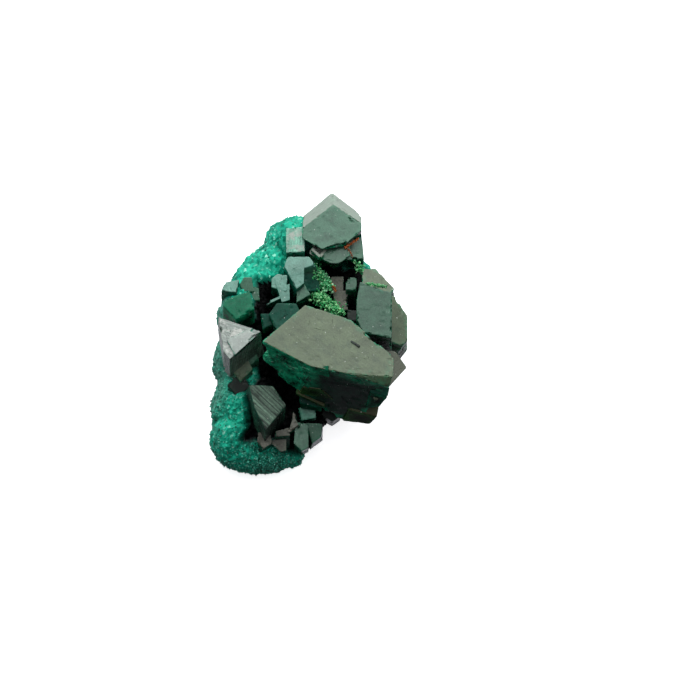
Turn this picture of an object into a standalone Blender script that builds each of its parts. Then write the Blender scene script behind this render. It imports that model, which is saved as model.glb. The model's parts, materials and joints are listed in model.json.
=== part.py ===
"""Dioptase specimen: emerald-green crystals grown on a lump of teal, druse-crusted matrix rock.

The specimen lies on the trimmed flat underside of its matrix.  +Z is up, +Y is the long way of
the specimen towards the tall crown crystal, and the origin is under the middle of the specimen,
on the surface that it rests on.

Dioptase grows as six-sided prisms closed by rhombohedron faces, so every crystal is a closed
solid bounded by flat faces.  A face is given the way a mineralogist reads one off a goniometer:
the compass heading that it looks towards (0 = +Y, 90 = +X), its rise above the horizontal, and
its distance from the crystal's middle.
"""

import math

import bmesh
import bpy
import numpy as np
from mathutils import Vector

MM = 0.001                    # one millimetre, in metres
GAP = 0.3                     # clearance that touching pieces keep, mm
BLANK = 70.0                  # side of the cube that each crystal is cut from, mm
SHIFT = Vector((0.1, -1.12, 0.0))   # brings the specimen's middle over the origin, mm
FINEST_EDGE = 0.02            # shortest edge that a cut may leave, mm

# The matrix: one body round a spine, its surface the soft union of round lumps (x, y, z, radius), mm.
SPINE_FRONT = np.array((-6.5, -12.5, 4.0))
SPINE_BACK = np.array((-2.0, 11.5, 5.5))
MATRIX_SOFTNESS = 9.0         # how sharply the lumps stand apart
MATRIX_GRAIN = 0.22           # depth of the knobbly crust, mm
MATRIX_LUMPS = (
    (-1.5, -1.5, 1.5, 10.0), (-8.5, -13.5, 2.2, 6.0), (-4.0, 10.5, 2.5, 6.6), (5.0, 4.0, 1.5, 7.0),
    (-9.5, -3.0, 5.5, 6.0), (-9.6, -11.0, 4.2, 6.1), (-11.0, -16.2, 3.6, 4.4),
    (-7.0, -17.0, 3.4, 4.1), (-3.0, -14.5, 1.8, 4.6), (0.0, -9.0, 2.5, 5.2),
    (-10.0, 4.0, 8.5, 5.0), (-8.3, 9.5, 9.0, 4.6), (-5.5, 13.0, 9.4, 3.9),
    (-2.4, 16.2, 9.6, 4.5), (2.4, 13.5, 6.0, 5.6), (6.0, 10.0, 5.0, 5.0),
    (9.0, 4.0, 4.0, 4.8), (8.3, -1.5, 4.0, 4.7), (5.0, 2.0, 4.5, 6.0),
    (-5.0, 5.0, 6.0, 5.0), (5.8, -7.0, 3.0, 4.2),
)

GREY_GREEN = (0.135, 0.190, 0.150)
SAGE = (0.170, 0.195, 0.155)
DEEP_GREEN = (0.004, 0.060, 0.032)
BLUE_GREY = (0.120, 0.150, 0.150)
MAUVE_GREY = (0.150, 0.140, 0.145)
TEAL = (0.005, 0.270, 0.190)
PALE = (0.330, 0.420, 0.340)
GRASS = (0.050, 0.330, 0.085)

# Each crystal: name, middle in mm, colour, and its faces as (heading, rise, distance).  A crystal
# further up the list grew first, so it keeps its shape where it meets one further down.
CRYSTALS = (
    ("main_crystal", (3, -7, 14), SAGE,
     ((150, 85, 6.0), (208, 8, 6.3), (191, 5, 5.7), (181, 36, 7.95), (90, -23, 7.5), (43, 0, 5.1),
      (19, 0, 4.6), (316, 0, 7.0), (262, 0, 10.6), (250, -45, 6.2), (190, -75, 9.5))),
    ("crown_crystal", (3.5, 15.5, 12), GREY_GREEN,
     ((170, 82, 5.0), (316, 45, 5.9), (316, -10, 5.4), (41, 45, 6.2), (41, -10, 5.4),
      (90, 0, 4.8), (272, 0, 4.8), (212, -25, 1.8), (168, -15, 2.1), (136, -15, 2.3),
      (0, -90, 7.0))),
    ("right_crystal", (10.3, -0.5, 14.5), GREY_GREEN,
     ((180, 80, 4.5), (270, 0, 2.9), (247, 0, 3.4), (192, -10, 3.8), (90, 0, 2.8),
      (20, 0, 3.3), (281, 0, 3.1), (0, -90, 8.0))),
    ("shiny_crystal", (-11.5, -4.6, 13), BLUE_GREY,
     ((250, 75, 4.0), (27, 5, 2.3), (140, 0, 2.3), (262, 0, 2.6), (235, 0, 3.3),
      (0, -90, 3.0))),
    ("left_block", (-11.5, 2.3, 11.5), DEEP_GREEN,
     ((200, 75, 3.5), (76, 0, 2.4), (153, 5, 2.3), (227, 5, 2.1), (340, 10, 2.2),
      (280, 0, 2.4), (0, -90, 5.0))),
    ("striated_crystal", (-7.2, -14.9, 10.5), MAUVE_GREY,
     ((150, 75, 3.5), (0, 20, 3.9), (55, 0, 2.7), (127, -5, 2.8), (243, 0, 1.9),
      (255, 0, 1.8), (0, -90, 3.5))),
    ("upper_crystal", (-1.7, 10, 11.5), BLUE_GREY,
     ((180, 80, 3.5), (0, 10, 1.8), (52, 0, 2.0), (163, 20, 2.1), (240, 0, 2.4),
      (288, 0, 2.2), (0, -90, 5.0))),
    ("centre_crystal", (-2, 7.6, 11), BLUE_GREY,
     ((190, 75, 3.5), (0, 0, 1.6), (90, 0, 1.1), (141, 0, 1.4), (240, 10, 1.6),
      (300, 0, 1.8), (0, -90, 5.0))),
    ("hex_crystal", (-3.8, 1.3, 9), DEEP_GREEN,
     ((180, 75, 4.0), (185, 0, 2.3), (125, 0, 2.5), (65, 0, 2.4), (5, 0, 2.3), (305, 0, 2.5),
      (245, 0, 2.4), (0, 30, 4.2), (0, -90, 4.0))),
    ("twin_back", (-4.9, 7.1, 11), BLUE_GREY,
     ((200, 75, 3.0), (270, 0, 1.3), (320, 0, 1.3), (10, 0, 1.3), (90, 0, 1.3),
      (200, 0, 1.2), (0, -90, 4.0))),
    ("twin_front", (-4.1, 5.3, 10.5), BLUE_GREY,
     ((170, 72, 3.0), (250, 0, 0.9), (90, 0, 0.9), (160, 0, 1.3), (0, 0, 1.6),
      (0, -90, 4.0))),
    ("tooth_crystal", (-1.3, 5.6, 10.5), BLUE_GREY,
     ((180, 75, 2.5), (270, 0, 0.9), (60, 0, 1.1), (150, 0, 0.9), (320, 0, 1.2),
      (0, -90, 5.0))),
    ("green_flank", (0.2, 7.6, 10), DEEP_GREEN,
     ((150, 65, 2.6), (80, 0, 1.3), (170, 0, 1.2), (270, 0, 1.6), (350, 0, 2.2),
      (0, -90, 4.0))),
    ("shoulder_slab", (10.5, 7.5, 10.5), GREY_GREEN,
     ((40, 72, 3.0), (53, 0, 1.7), (350, 0, 2.8), (270, 0, 2.2), (200, 0, 2.2), (120, 0, 3.2),
      (0, -90, 6.0))),
    ("right_flank", (12, 0, 9), GREY_GREEN,
     ((90, 55, 4.4), (90, 0, 3.6), (55, 0, 4.2), (125, -10, 3.8), (0, 0, 5.0), (180, 0, 3.8),
      (270, 0, 3.0), (0, -90, 5.0))),
    ("right_low_crystal", (12.6, -8.6, 11), MAUVE_GREY,
     ((100, 75, 3.0), (50, -20, 1.6), (130, -30, 0.6), (0, 0, 3.0), (270, 0, 2.5),
      (0, -90, 3.0))),
    ("small_block", (6.6, 7.4, 10.5), BLUE_GREY,
     ((180, 78, 2.5), (182, 0, 1.1), (92, 0, 0.9), (272, 0, 0.9), (2, 0, 1.1),
      (0, -90, 4.0))),
    ("crown_step", (4, 12, 12), GREY_GREEN,
     ((180, 85, 3.5), (265, 0, 2.2), (209, -20, 1.0), (175, -20, 1.0), (138, -20, 0.9),
      (90, 0, 2.4), (329, 0, 2.0), (0, -90, 4.0))),
    ("zigzag_plate", (1.5, 12.6, 13.0), GREY_GREEN,
     ((180, 78, 1.5), (212, 0, 1.3), (152, 0, 1.0), (60, 0, 1.4), (0, 0, 1.5), (285, 0, 1.5),
      (0, -90, 2.6))),
    ("crown_side", (7.3, 13.6, 10), GREY_GREEN,
     ((100, 70, 4.0), (85, 0, 1.2), (170, -15, 1.2), (270, 0, 1.5), (330, 0, 2.5),
      (0, -90, 5.0))),
    ("pale_facet", (-2.3, 14.1, 12.6), PALE,
     ((215, 75, 3.0), (270, 0, 1.6), (0, 0, 2.0), (90, 0, 1.5), (180, 0, 2.2),
      (0, -90, 4.0))),
    ("mauve_top", (4.4, 8.2, 9), MAUVE_GREY,
     ((180, 70, 2.0), (90, 0, 1.0), (270, 0, 1.2), (195, 0, 1.6), (0, 0, 1.4),
      (0, -90, 3.0))),
    ("mauve_low", (5.1, 5.5, 8.5), MAUVE_GREY,
     ((220, 68, 2.2), (90, 0, 1.0), (250, 0, 1.0), (180, 0, 1.6), (0, 0, 1.6),
      (0, -90, 3.0))),
    ("slot_block", (6.7, 2.6, 9), MAUVE_GREY,
     ((200, 75, 2.0), (95, 0, 0.8), (185, 0, 1.0), (275, 0, 0.8), (5, 0, 1.0),
      (0, -90, 3.0))),
    ("plate_outer", (-12.7, 6.6, 11.5), BLUE_GREY,
     ((270, 70, 1.8), (200, 0, 0.9), (100, 0, 1.2), (290, 0, 1.4), (0, 0, 1.1),
      (0, -90, 4.0))),
    ("plate_inner", (-10, 7.1, 11.5), BLUE_GREY,
     ((190, 68, 1.8), (180, 0, 1.2), (80, 0, 0.9), (305, 0, 1.1), (0, 0, 1.1), (250, 0, 1.2),
      (0, -90, 4.0))),
    ("bead_crystal", (-8.7, 5.7, 11), BLUE_GREY,
     ((190, 72, 1.7), (180, 0, 1.1), (85, 0, 0.6), (0, 0, 1.1), (270, 0, 0.6),
      (0, -90, 3.0))),
    ("teal_block", (-7, 1.3, 10), DEEP_GREEN,
     ((190, 72, 1.8), (160, 0, 1.1), (80, 0, 0.8), (0, 0, 1.1), (262, 0, 0.8),
      (0, -90, 3.0))),
    ("left_body", (-10.6, -5.4, 9.6), DEEP_GREEN,
     ((160, 60, 2.4), (140, 5, 2.0), (60, 0, 2.2), (200, 0, 2.2), (262, 0, 2.6), (0, 0, 3.0),
      (0, -90, 4.0))),
    ("left_plate", (-10.8, -7.6, 9.4), MAUVE_GREY,
     ((170, 70, 1.9), (135, 0, 1.1), (60, 0, 1.6), (230, 0, 1.4), (330, 0, 1.0),
      (0, -90, 3.0))),
    ("left_foot", (-11.4, -9.8, 8.4), DEEP_GREEN,
     ((150, 65, 1.8), (135, 0, 1.3), (50, 0, 1.6), (225, 0, 1.4), (315, 0, 1.2),
      (0, -90, 3.0))),
    ("spike_crystal", (-2.6, -16.2, 8), MAUVE_GREY,
     ((190, 78, 1.8), (285, 0, 0.5), (66, 0, 0.8), (146, -10, 0.9), (0, -90, 3.0))),
    ("bottom_block", (-1.4, -18.2, 6.0), BLUE_GREY,
     ((150, 72, 2.5), (90, 0, 1.2), (150, -20, 1.3), (225, -15, 1.0), (275, 0, 1.1),
      (5, 0, 2.2), (0, -90, 4.0))),
    ("corner_block", (0.9, -16.2, 4.6), BLUE_GREY,
     ((170, 65, 2.0), (100, 0, 1.0), (140, -15, 0.7), (250, 0, 1.1), (0, 0, 1.2),
      (0, -90, 3.0))),
    ("thin_plate", (-4.3, -17.8, 7.8), MAUVE_GREY,
     ((180, 72, 1.4), (175, 0, 0.6), (80, 0, 1.1), (265, 0, 1.3), (345, 0, 0.5),
      (0, -90, 3.0))),
    ("wedge_crystal", (-4.4, -19.1, 5.9), MAUVE_GREY,
     ((190, 68, 1.8), (90, 0, 0.7), (225, -20, 0.5), (350, 0, 1.0), (165, -20, 0.6),
      (0, -90, 3.0))),
    ("step_crystal", (-7.3, -18.8, 6.8), MAUVE_GREY,
     ((160, 70, 1.7), (95, 0, 1.3), (145, -10, 0.9), (225, 0, 1.1), (275, 0, 1.1), (0, 0, 1.2),
      (0, -90, 3.0))),
    ("chip_crystal", (-0.3, -13.2, 5.8), TEAL,
     ((200, 60, 1.5), (170, -20, 0.5), (90, 0, 1.3), (255, 0, 1.3), (0, 0, 0.9),
      (0, -90, 2.8))),
    ("foot_crystal", (3.5, -12.2, 3.8), DEEP_GREEN,
     ((160, 60, 2.0), (140, -15, 0.8), (210, -15, 0.8), (60, 0, 1.6), (290, 0, 1.4),
      (0, 0, 2.0), (0, -90, 2.5))),
    ("back_prism", (-5.4, 17.8, 6), DEEP_GREEN,
     ((340, 45, 3.2), (350, 0, 2.6), (50, 0, 1.7), (290, 0, 1.7), (230, 0, 2.0), (110, 0, 2.0),
      (170, 0, 2.0), (0, -90, 3.0))),
    ("back_block", (9.0, 10.4, 3.4), DEEP_GREEN,
     ((60, 60, 3.0), (75, 0, 2.4), (15, 0, 2.6), (135, 0, 2.4), (195, 0, 2.0), (255, 0, 2.0),
      (315, 0, 2.0), (0, -90, 2.0))),
)

# Druse: crusts of fine crystals in the hollows, each a low knobbly mound (middle, half sizes), mm.
DRUSES = (
    ("upper_druse", (1.4, 9.8, 10.4), (1.7, 2.1, 1.8), GRASS),
    ("lower_druse", (2.8, 4.6, 9.8), (2.3, 1.7, 2.4), GRASS),
)


def face_direction(heading, rise):
    """Unit vector that a face looks along, from its compass heading and its rise in degrees."""
    turn = math.radians(heading)
    climb = math.radians(rise)
    return Vector((math.sin(turn) * math.cos(climb), math.cos(turn) * math.cos(climb), math.sin(climb)))


def principled(name, colour, roughness):
    """A stone or crystal finish."""
    material = bpy.data.materials.new(name)
    material.use_nodes = True
    shader = material.node_tree.nodes["Principled BSDF"]
    shader.inputs["Base Color"].default_value = (*colour, 1.0)
    shader.inputs["Roughness"].default_value = roughness
    shader.inputs["Metallic"].default_value = 0.0
    return material


def new_object(name, bm, collection, place):
    """Turn a bmesh in mm about its own middle into an object in metres at its place."""
    bmesh.ops.scale(bm, vec=(MM, MM, MM), verts=bm.verts)
    mesh = bpy.data.meshes.new(name)
    bm.to_mesh(mesh)
    bm.free()
    obj = bpy.data.objects.new(name, mesh)
    obj.location = (Vector(place) + SHIFT) * MM
    collection.objects.link(obj)
    return obj


def crystal_solid(faces, growth):
    """A cube cut back to each crystal face in turn, every face moved out by growth mm."""
    bm = bmesh.new()
    bmesh.ops.create_cube(bm, size=BLANK)
    for heading, rise, distance in faces:
        outward = face_direction(heading, rise)
        cut = bmesh.ops.bisect_plane(
            bm, geom=bm.verts[:] + bm.edges[:] + bm.faces[:], dist=1e-5,
            plane_co=outward * (distance + growth), plane_no=outward, clear_outer=True)
        rim = [item for item in cut["geom_cut"] if isinstance(item, bmesh.types.BMEdge)]
        if rim:
            bmesh.ops.contextual_create(bm, geom=rim)
    bmesh.ops.recalc_face_normals(bm, faces=bm.faces)
    return bm


def knobbly(directions, seed):
    """Smooth knobbles between -1 and 1 over a field of points: a sum of tilted waves."""
    rng = np.random.default_rng(seed)
    total = np.zeros(len(directions))
    for _ in range(9):
        wave = rng.normal(size=3)
        wave *= rng.uniform(0.9, 2.0) / np.linalg.norm(wave)
        total += np.sin(directions @ wave + rng.uniform(0.0, 2.0 * math.pi))
    return total / 4.0


def lump_reach(starts, rays, centre, radius):
    """How far each ray from the spine runs before it leaves a round lump, 0 where it misses."""
    offset = centre - starts
    along = np.sum(rays * offset, axis=1)
    inside = radius ** 2 - (np.sum(offset * offset, axis=1) - along ** 2)
    return np.where(inside > 0.0, np.maximum(along + np.sqrt(np.maximum(inside, 0.0)), 0.0), 0.0)


def matrix_solid():
    """The matrix rock: a ball spread along the spine and out to its lumps, cut flat below."""
    bm = bmesh.new()
    bmesh.ops.create_icosphere(bm, subdivisions=4, radius=1.0)
    rays = np.array([vertex.co[:] for vertex in bm.verts])
    rays /= np.linalg.norm(rays, axis=1)[:, None]
    share = 0.5 + 0.5 * rays[:, 1:2]
    starts = SPINE_FRONT + share * (SPINE_BACK - SPINE_FRONT)
    total = np.zeros(len(rays))
    for x, y, z, radius in MATRIX_LUMPS:
        total += lump_reach(starts, rays, np.array((x, y, z)), radius) ** MATRIX_SOFTNESS
    reach = total ** (1.0 / MATRIX_SOFTNESS)
    points = starts + rays * reach[:, None]
    points += rays * (MATRIX_GRAIN * knobbly(points, 7))[:, None]
    for vertex, point in zip(bm.verts, points):
        vertex.co = point
    floor = bmesh.ops.bisect_plane(
        bm, geom=bm.verts[:] + bm.edges[:] + bm.faces[:], dist=1e-4,
        plane_co=(0.0, 0.0, 0.0), plane_no=(0.0, 0.0, -1.0), clear_outer=True)
    rim = [item for item in floor["geom_cut"] if isinstance(item, bmesh.types.BMEdge)]
    bmesh.ops.contextual_create(bm, geom=rim)
    bmesh.ops.recalc_face_normals(bm, faces=bm.faces)
    return bm


def druse_solid(half_sizes, seed, growth):
    """A mound of fine crystals: a ball stretched to its half sizes and roughened."""
    bm = bmesh.new()
    bmesh.ops.create_icosphere(bm, subdivisions=3, radius=1.0)
    for vertex in bm.verts:
        vertex.co = Vector([c * (half + growth) for c, half in zip(vertex.co, half_sizes)])
    points = np.array([vertex.co[:] for vertex in bm.verts])
    roughness = 0.05 * knobbly(points * 2.0, seed)
    for vertex, swell in zip(bm.verts, roughness):
        vertex.co *= 1.0 + swell
    return bm


def boxes_meet(first, second):
    """Whether two objects' boxes overlap, so that one may cut the other."""
    low_a, high_a = world_box(first)
    low_b, high_b = world_box(second)
    return bool(np.all(low_a < high_b) and np.all(low_b < high_a))


def world_box(obj):
    """Lowest and highest corner of an object in world space, in metres."""
    points = np.array([vertex.co[:] for vertex in obj.data.vertices]) + np.array(obj.location)
    return points.min(axis=0), points.max(axis=0)


def cut_by(obj, cutters):
    """Cut the grown neighbours out of a piece and keep its one largest body."""
    for cutter in cutters:
        boolean = obj.modifiers.new("clear_" + cutter.name, "BOOLEAN")
        boolean.operation = "DIFFERENCE"
        boolean.solver = "EXACT"
        boolean.object = cutter
    bpy.context.view_layer.update()
    evaluated = obj.evaluated_get(bpy.context.evaluated_depsgraph_get())
    mesh = bpy.data.meshes.new_from_object(evaluated)
    obj.modifiers.clear()
    bm = bmesh.new()
    bm.from_mesh(mesh)
    bpy.data.meshes.remove(mesh)
    keep_largest_body(bm)
    bmesh.ops.remove_doubles(bm, verts=bm.verts, dist=FINEST_EDGE * MM)
    bmesh.ops.dissolve_degenerate(bm, edges=bm.edges, dist=FINEST_EDGE * MM)
    bmesh.ops.triangulate(bm, faces=bm.faces)
    bm.to_mesh(obj.data)
    bm.free()


def keep_largest_body(bm):
    """Delete every loose body of a mesh but the one that holds the most space."""
    unseen = set(bm.faces)
    bodies = []
    while unseen:
        to_visit = [unseen.pop()]
        body = list(to_visit)
        while to_visit:
            for edge in to_visit.pop().edges:
                for face in edge.link_faces:
                    if face in unseen:
                        unseen.remove(face)
                        body.append(face)
                        to_visit.append(face)
        bodies.append(body)
    bodies.sort(key=body_size)
    for body in bodies[:-1]:
        bmesh.ops.delete(bm, geom=body, context="FACES")


def body_size(body):
    """Volume of the box round a body's faces."""
    points = np.array([vertex.co[:] for face in body for vertex in face.verts])
    return float(np.prod(np.ptp(points, axis=0)))


def main():
    for obj in list(bpy.data.objects):
        bpy.data.objects.remove(obj, do_unlink=True)
    specimen = bpy.data.collections.new("dioptase_specimen")
    cutters = bpy.data.collections.new("cutters")
    bpy.context.scene.collection.children.link(specimen)
    bpy.context.scene.collection.children.link(cutters)

    grown = []
    for name, place, colour, faces in CRYSTALS:
        piece = new_object(name, crystal_solid(faces, 0.0), specimen, place)
        piece.data.materials.append(principled(name + "_dioptase", colour, 0.35))
        cut_by(piece, [cutter for cutter in grown if boxes_meet(piece, cutter)])
        grown.append(new_object(name + "_space", crystal_solid(faces, GAP), cutters, place))

    for seed, (name, place, half_sizes, colour) in enumerate(DRUSES):
        piece = new_object(name, druse_solid(half_sizes, seed, 0.0), specimen, place)
        piece.data.materials.append(principled(name + "_crust", colour, 0.6))
        cut_by(piece, [cutter for cutter in grown if boxes_meet(piece, cutter)])
        grown.append(new_object(name + "_space", druse_solid(half_sizes, seed, GAP), cutters, place))

    rock = new_object("matrix_rock", matrix_solid(), specimen, (0.0, 0.0, 0.0))
    rock.data.materials.append(principled("matrix_teal_stone", TEAL, 0.7))
    cut_by(rock, grown)

    for cutter in grown:
        cutter.hide_render = True
        cutter.display_type = "WIRE"


main()
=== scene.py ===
# %% [markdown]
# # A dioptase specimen, from its measured frame to its finish
# Dioptase is a copper silicate that grows as stubby six-sided crystals on a rock matrix. The frame
# holds each crystal as a plain block at its real size. This lesson gives every block the worn edges,
# growth steps and satin faces of the real mineral, with a painted sheen on the faces that look up,
# and gives the rock its knobbly, sparkling crust, with painted shade and painted glints.

# %% The frame
import json
import math

import bmesh
import bpy
import numpy as np
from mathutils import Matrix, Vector
from mathutils.bvhtree import BVHTree


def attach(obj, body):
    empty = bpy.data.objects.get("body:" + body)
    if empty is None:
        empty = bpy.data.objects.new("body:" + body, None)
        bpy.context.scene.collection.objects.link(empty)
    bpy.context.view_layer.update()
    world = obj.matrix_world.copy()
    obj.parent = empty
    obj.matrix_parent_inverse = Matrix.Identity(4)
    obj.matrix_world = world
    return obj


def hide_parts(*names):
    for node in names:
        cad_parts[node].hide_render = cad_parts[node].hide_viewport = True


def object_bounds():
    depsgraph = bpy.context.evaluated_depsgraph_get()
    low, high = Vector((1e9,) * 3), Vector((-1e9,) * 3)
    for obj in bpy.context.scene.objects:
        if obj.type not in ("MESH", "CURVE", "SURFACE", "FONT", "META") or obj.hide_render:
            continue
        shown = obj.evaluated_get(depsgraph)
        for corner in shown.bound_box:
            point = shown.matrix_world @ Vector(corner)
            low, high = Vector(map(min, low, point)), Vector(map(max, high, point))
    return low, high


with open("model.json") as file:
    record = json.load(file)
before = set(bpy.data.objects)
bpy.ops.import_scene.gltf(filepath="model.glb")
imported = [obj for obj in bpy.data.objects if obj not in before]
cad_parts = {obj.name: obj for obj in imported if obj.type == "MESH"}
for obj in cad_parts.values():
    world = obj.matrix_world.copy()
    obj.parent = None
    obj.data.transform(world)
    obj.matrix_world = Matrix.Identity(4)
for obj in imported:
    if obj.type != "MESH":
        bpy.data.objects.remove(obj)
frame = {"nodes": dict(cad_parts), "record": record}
cad_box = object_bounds()
MM = 0.001                                   # the frame is in metres, minerals are thought of in mm
BOX_LOW, BOX_HIGH = (np.array(corner) for corner in cad_box)
MIDDLE = (BOX_LOW + BOX_HIGH) / 2
PLAN = np.array((0.1, -1.12, 0.0))           # where the middle of the growth plan sits in the frame, mm
print("frame:", len(frame["nodes"]), "nodes, box in mm", (BOX_HIGH - BOX_LOW) / MM)

# %% [markdown]
# ## Camera
# The stone lies on its flat back and is looked down on at sixty degrees. A long lens far away keeps
# the crystal edges nearly parallel, as a small thing looks through a long macro lens. The lens, the
# distance and the width of the view belong together: width = sensor x distance / lens.

# %% Camera
LOOK_DOWN = math.radians(60)
VIEW_WIDTH = 112 * MM
LENS, SENSOR = 500.0, 36.0
BESIDE = 6.5 * MM                            # the stone sits left of and above the middle
BELOW = -3.86 * MM


def into_scene(name, data):
    """An object that shows data, linked into the scene."""
    obj = bpy.data.objects.new(name, data)
    bpy.context.scene.collection.objects.link(obj)
    return obj


back = Vector((0.0, -math.cos(LOOK_DOWN), math.sin(LOOK_DOWN)))
up = Vector((0.0, math.sin(LOOK_DOWN), math.cos(LOOK_DOWN)))
aim = Vector(MIDDLE) + Vector((BESIDE, 0.0, 0.0)) + up * BELOW
camera = into_scene("camera", bpy.data.cameras.new("camera"))
camera.data.lens = LENS
camera.data.sensor_width = SENSOR
camera.data.clip_start = 0.01
camera.location = aim + back * (VIEW_WIDTH * LENS / SENSOR)
camera.rotation_euler = (math.pi / 2 - LOOK_DOWN, 0.0, 0.0)
bpy.context.scene.camera = camera
print("camera is", round(VIEW_WIDTH * LENS / SENSOR, 3), "m away")

# %% [markdown]
# ## Light
# A mineral shows its faces only in what they reflect. One wide soft box above and behind the stone
# is mirrored by every face that looks up, and the room in front is kept dim, so faces that look
# forward stay nearly black, as deep glassy dioptase does. Two small helpers come first: one turns a
# hex colour to the linear values Blender works in, and one adds a node with its settings and links.

# %% Colours and nodes
def colour(code):
    """An sRGB hex colour as the linear red, green, blue and alpha that Blender works in."""
    parts = [int(code[i:i + 2], 16) / 255 for i in (1, 3, 5)]
    return (*[c / 12.92 if c <= 0.04045 else ((c + 0.055) / 1.055) ** 2.4 for c in parts], 1.0)


def add(tree, kind, settings=None, **links):
    """Add a shader node, set its properties and link or set its inputs by name (spaces as _).

    in0 is the first input, and a node given as a link stands for its first output.
    """
    node = tree.nodes.new("ShaderNode" + kind)
    for key, value in (settings or {}).items():
        setattr(node, key, value)
    for key, value in links.items():
        name = key.replace("_", " ").strip()
        index = int(name[2:]) if name.startswith("in") and name[2:].isdigit() else name
        value = value.outputs[0] if isinstance(value, bpy.types.Node) else value
        if isinstance(value, bpy.types.NodeSocket):
            tree.links.new(value, node.inputs[index])
        else:
            node.inputs[index].default_value = value
    return node


TIMES, TIMES_PLUS = {"operation": "MULTIPLY"}, {"operation": "MULTIPLY_ADD"}
COLOURS = {"data_type": "RGBA"}
print("mid grey in linear light:", round(colour("#808080")[0], 3))


# %% Soft box
def soft_box(name, direction, distance, size, brightness):
    """A square lamp that looks at the stone, its power worked out from how bright it looks."""
    lamp = bpy.data.lights.new(name, "AREA")
    lamp.shape = "SQUARE"
    lamp.size = size
    lamp.energy = brightness * math.pi * size * size
    obj = into_scene(name, lamp)
    toward = Vector(direction).normalized()
    obj.location = Vector(MIDDLE) + toward * distance
    obj.rotation_euler = toward.to_track_quat("Z", "Y").to_euler()
    return obj


overhead = soft_box("soft_box_overhead", direction=(0.05, 0.62, 0.80), distance=0.42, size=0.60,
                    brightness=2.4)
print("soft box:", round(overhead.data.energy, 2), "W")

# %% Room
ROOM_FRONT, ROOM_BACK = 0.12, 0.90           # how bright the room is before and behind the stone
world = bpy.data.worlds.new("studio")
bpy.context.scene.world = world
world.use_nodes = True
tree = world.node_tree
tree.nodes.clear()
way = add(tree, "SeparateXYZ", in0=add(tree, "TexCoord").outputs["Generated"])
depth = add(tree, "Math", TIMES_PLUS, in0=way.outputs["Z"], in1=0.35, in2=way.outputs["Y"])
glow = add(tree, "MapRange", in0=depth, in1=-0.50, in2=0.50, in3=ROOM_FRONT, in4=ROOM_BACK)
room = add(tree, "Background", Strength=glow, Color=colour("#F7F7FF"))
add(tree, "OutputWorld", Surface=room)
bpy.context.scene.view_settings.view_transform = "Standard"
print("the room is", round(ROOM_BACK / ROOM_FRONT, 1), "times brighter behind the stone")

# %% [markdown]
# ## Noise to shape with
# Stone is never even. Two fields over space are enough here: a smooth one that drifts, and a cell
# one that splits space into grains. Both are worked out for all points at once from a hash of the
# lattice around each point, so they give the same stone each time.

# %% Noise fields
def lattice(cells, seed):
    """A steady pseudo-random number from 0 to 1 for each whole-numbered lattice cell."""
    h = cells[..., 0] * 374761393 + cells[..., 1] * 668265263 + cells[..., 2] * 1442695041 + seed * 974711
    h = ((h ^ (h >> 13)) * 1274126177) & 0xFFFFFFFF
    h = ((h ^ (h >> 15)) * 2246822519) & 0xFFFFFFFF
    return ((h ^ (h >> 16)) & 0xFFFFFF) / float(0x1000000)


CORNERS = np.array([(x, y, z) for x in (0, 1) for y in (0, 1) for z in (0, 1)])
AROUND = np.array([(x, y, z) for x in (-1, 0, 1) for y in (-1, 0, 1) for z in (-1, 0, 1)])


def drift(points, size, seed):
    """Smooth noise from -1 to 1: lattice values blended by an s-curve along each axis."""
    scaled = points / size
    cell = np.floor(scaled).astype(np.int64)
    part = scaled - cell
    part = part * part * (3 - 2 * part)
    total = np.zeros(len(points))
    for corner in CORNERS:
        weight = np.prod(np.where(corner, part, 1 - part), axis=1)
        total += weight * lattice(cell + corner, seed)
    return 2 * total - 1


def grains(points, size, seed):
    """Cell noise: distance to the nearest scattered seed point in cells, and that grain's own number."""
    scaled = points / size
    cell = np.floor(scaled).astype(np.int64)
    nearest = np.full(len(points), 9.0)
    own = np.zeros(len(points))
    for step in AROUND:
        near = cell + step
        jitter = np.stack([lattice(near, seed + k) for k in (1, 2, 3)], axis=1)
        gap = np.linalg.norm(near + jitter - scaled, axis=1)
        closer = gap < nearest
        nearest[closer] = gap[closer]
        own[closer] = lattice(near, seed + 4)[closer]
    return nearest, own


def ease(low, high, value):
    """An s-curve from 0 at low to 1 at high."""
    t = np.clip((value - low) / (high - low), 0, 1)
    return t * t * (3 - 2 * t)


print("drift at the middle of the plan:", drift(PLAN[None] + 0.5, 4.0, 1).round(3))

# %% [markdown]
# ## Crystal faces
# A crystal is the space inside a few flat faces. The frame's block gives the planes: those with the
# whole block behind them are natural faces. Where a face only meets a neighbour across the frame's
# small clearance it moves out, so that grown-together crystals really join. A block could also be
# remeshed as it is, but its notches, which no crystal has, would stay.

# %% Blocks of the frame
def triangles(node):
    """The corners of a frame node's triangles, in mm, as an array of (triangle, corner, xyz)."""
    mesh = node.data
    mesh.calc_loop_triangles()
    points = np.empty(len(mesh.vertices) * 3)
    mesh.vertices.foreach_get("co", points)
    corners = np.empty(len(mesh.loop_triangles) * 3, dtype=np.int64)
    mesh.loop_triangles.foreach_get("vertices", corners)
    return points.reshape(-1, 3)[corners.reshape(-1, 3)] / MM


BLOCKS = {name: triangles(node) for name, node in frame["nodes"].items()}
CLEARANCE = 0.45                             # a face closer than this to a neighbour meets it, mm
PUSH = 0.5                                   # how far a meeting face moves out, mm
MARGIN = 1.2                                 # how far a block may fill in beside a neighbour, mm
SAME_WAY, SAME_PLANE = 0.999, 0.05           # cosine and mm within which two faces are one
SMALLEST = 0.03                              # a triangle under this area is a sliver of a cut, mm2
ORDER = [row["node"] for row in frame["record"]["subparts"]]   # the order in which they grew
SLOTS = {row["node"]: row["material_slot"] for row in frame["record"]["subparts"]}
print(len(BLOCKS), "blocks,", sum(len(block) for block in BLOCKS.values()), "triangles")

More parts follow.
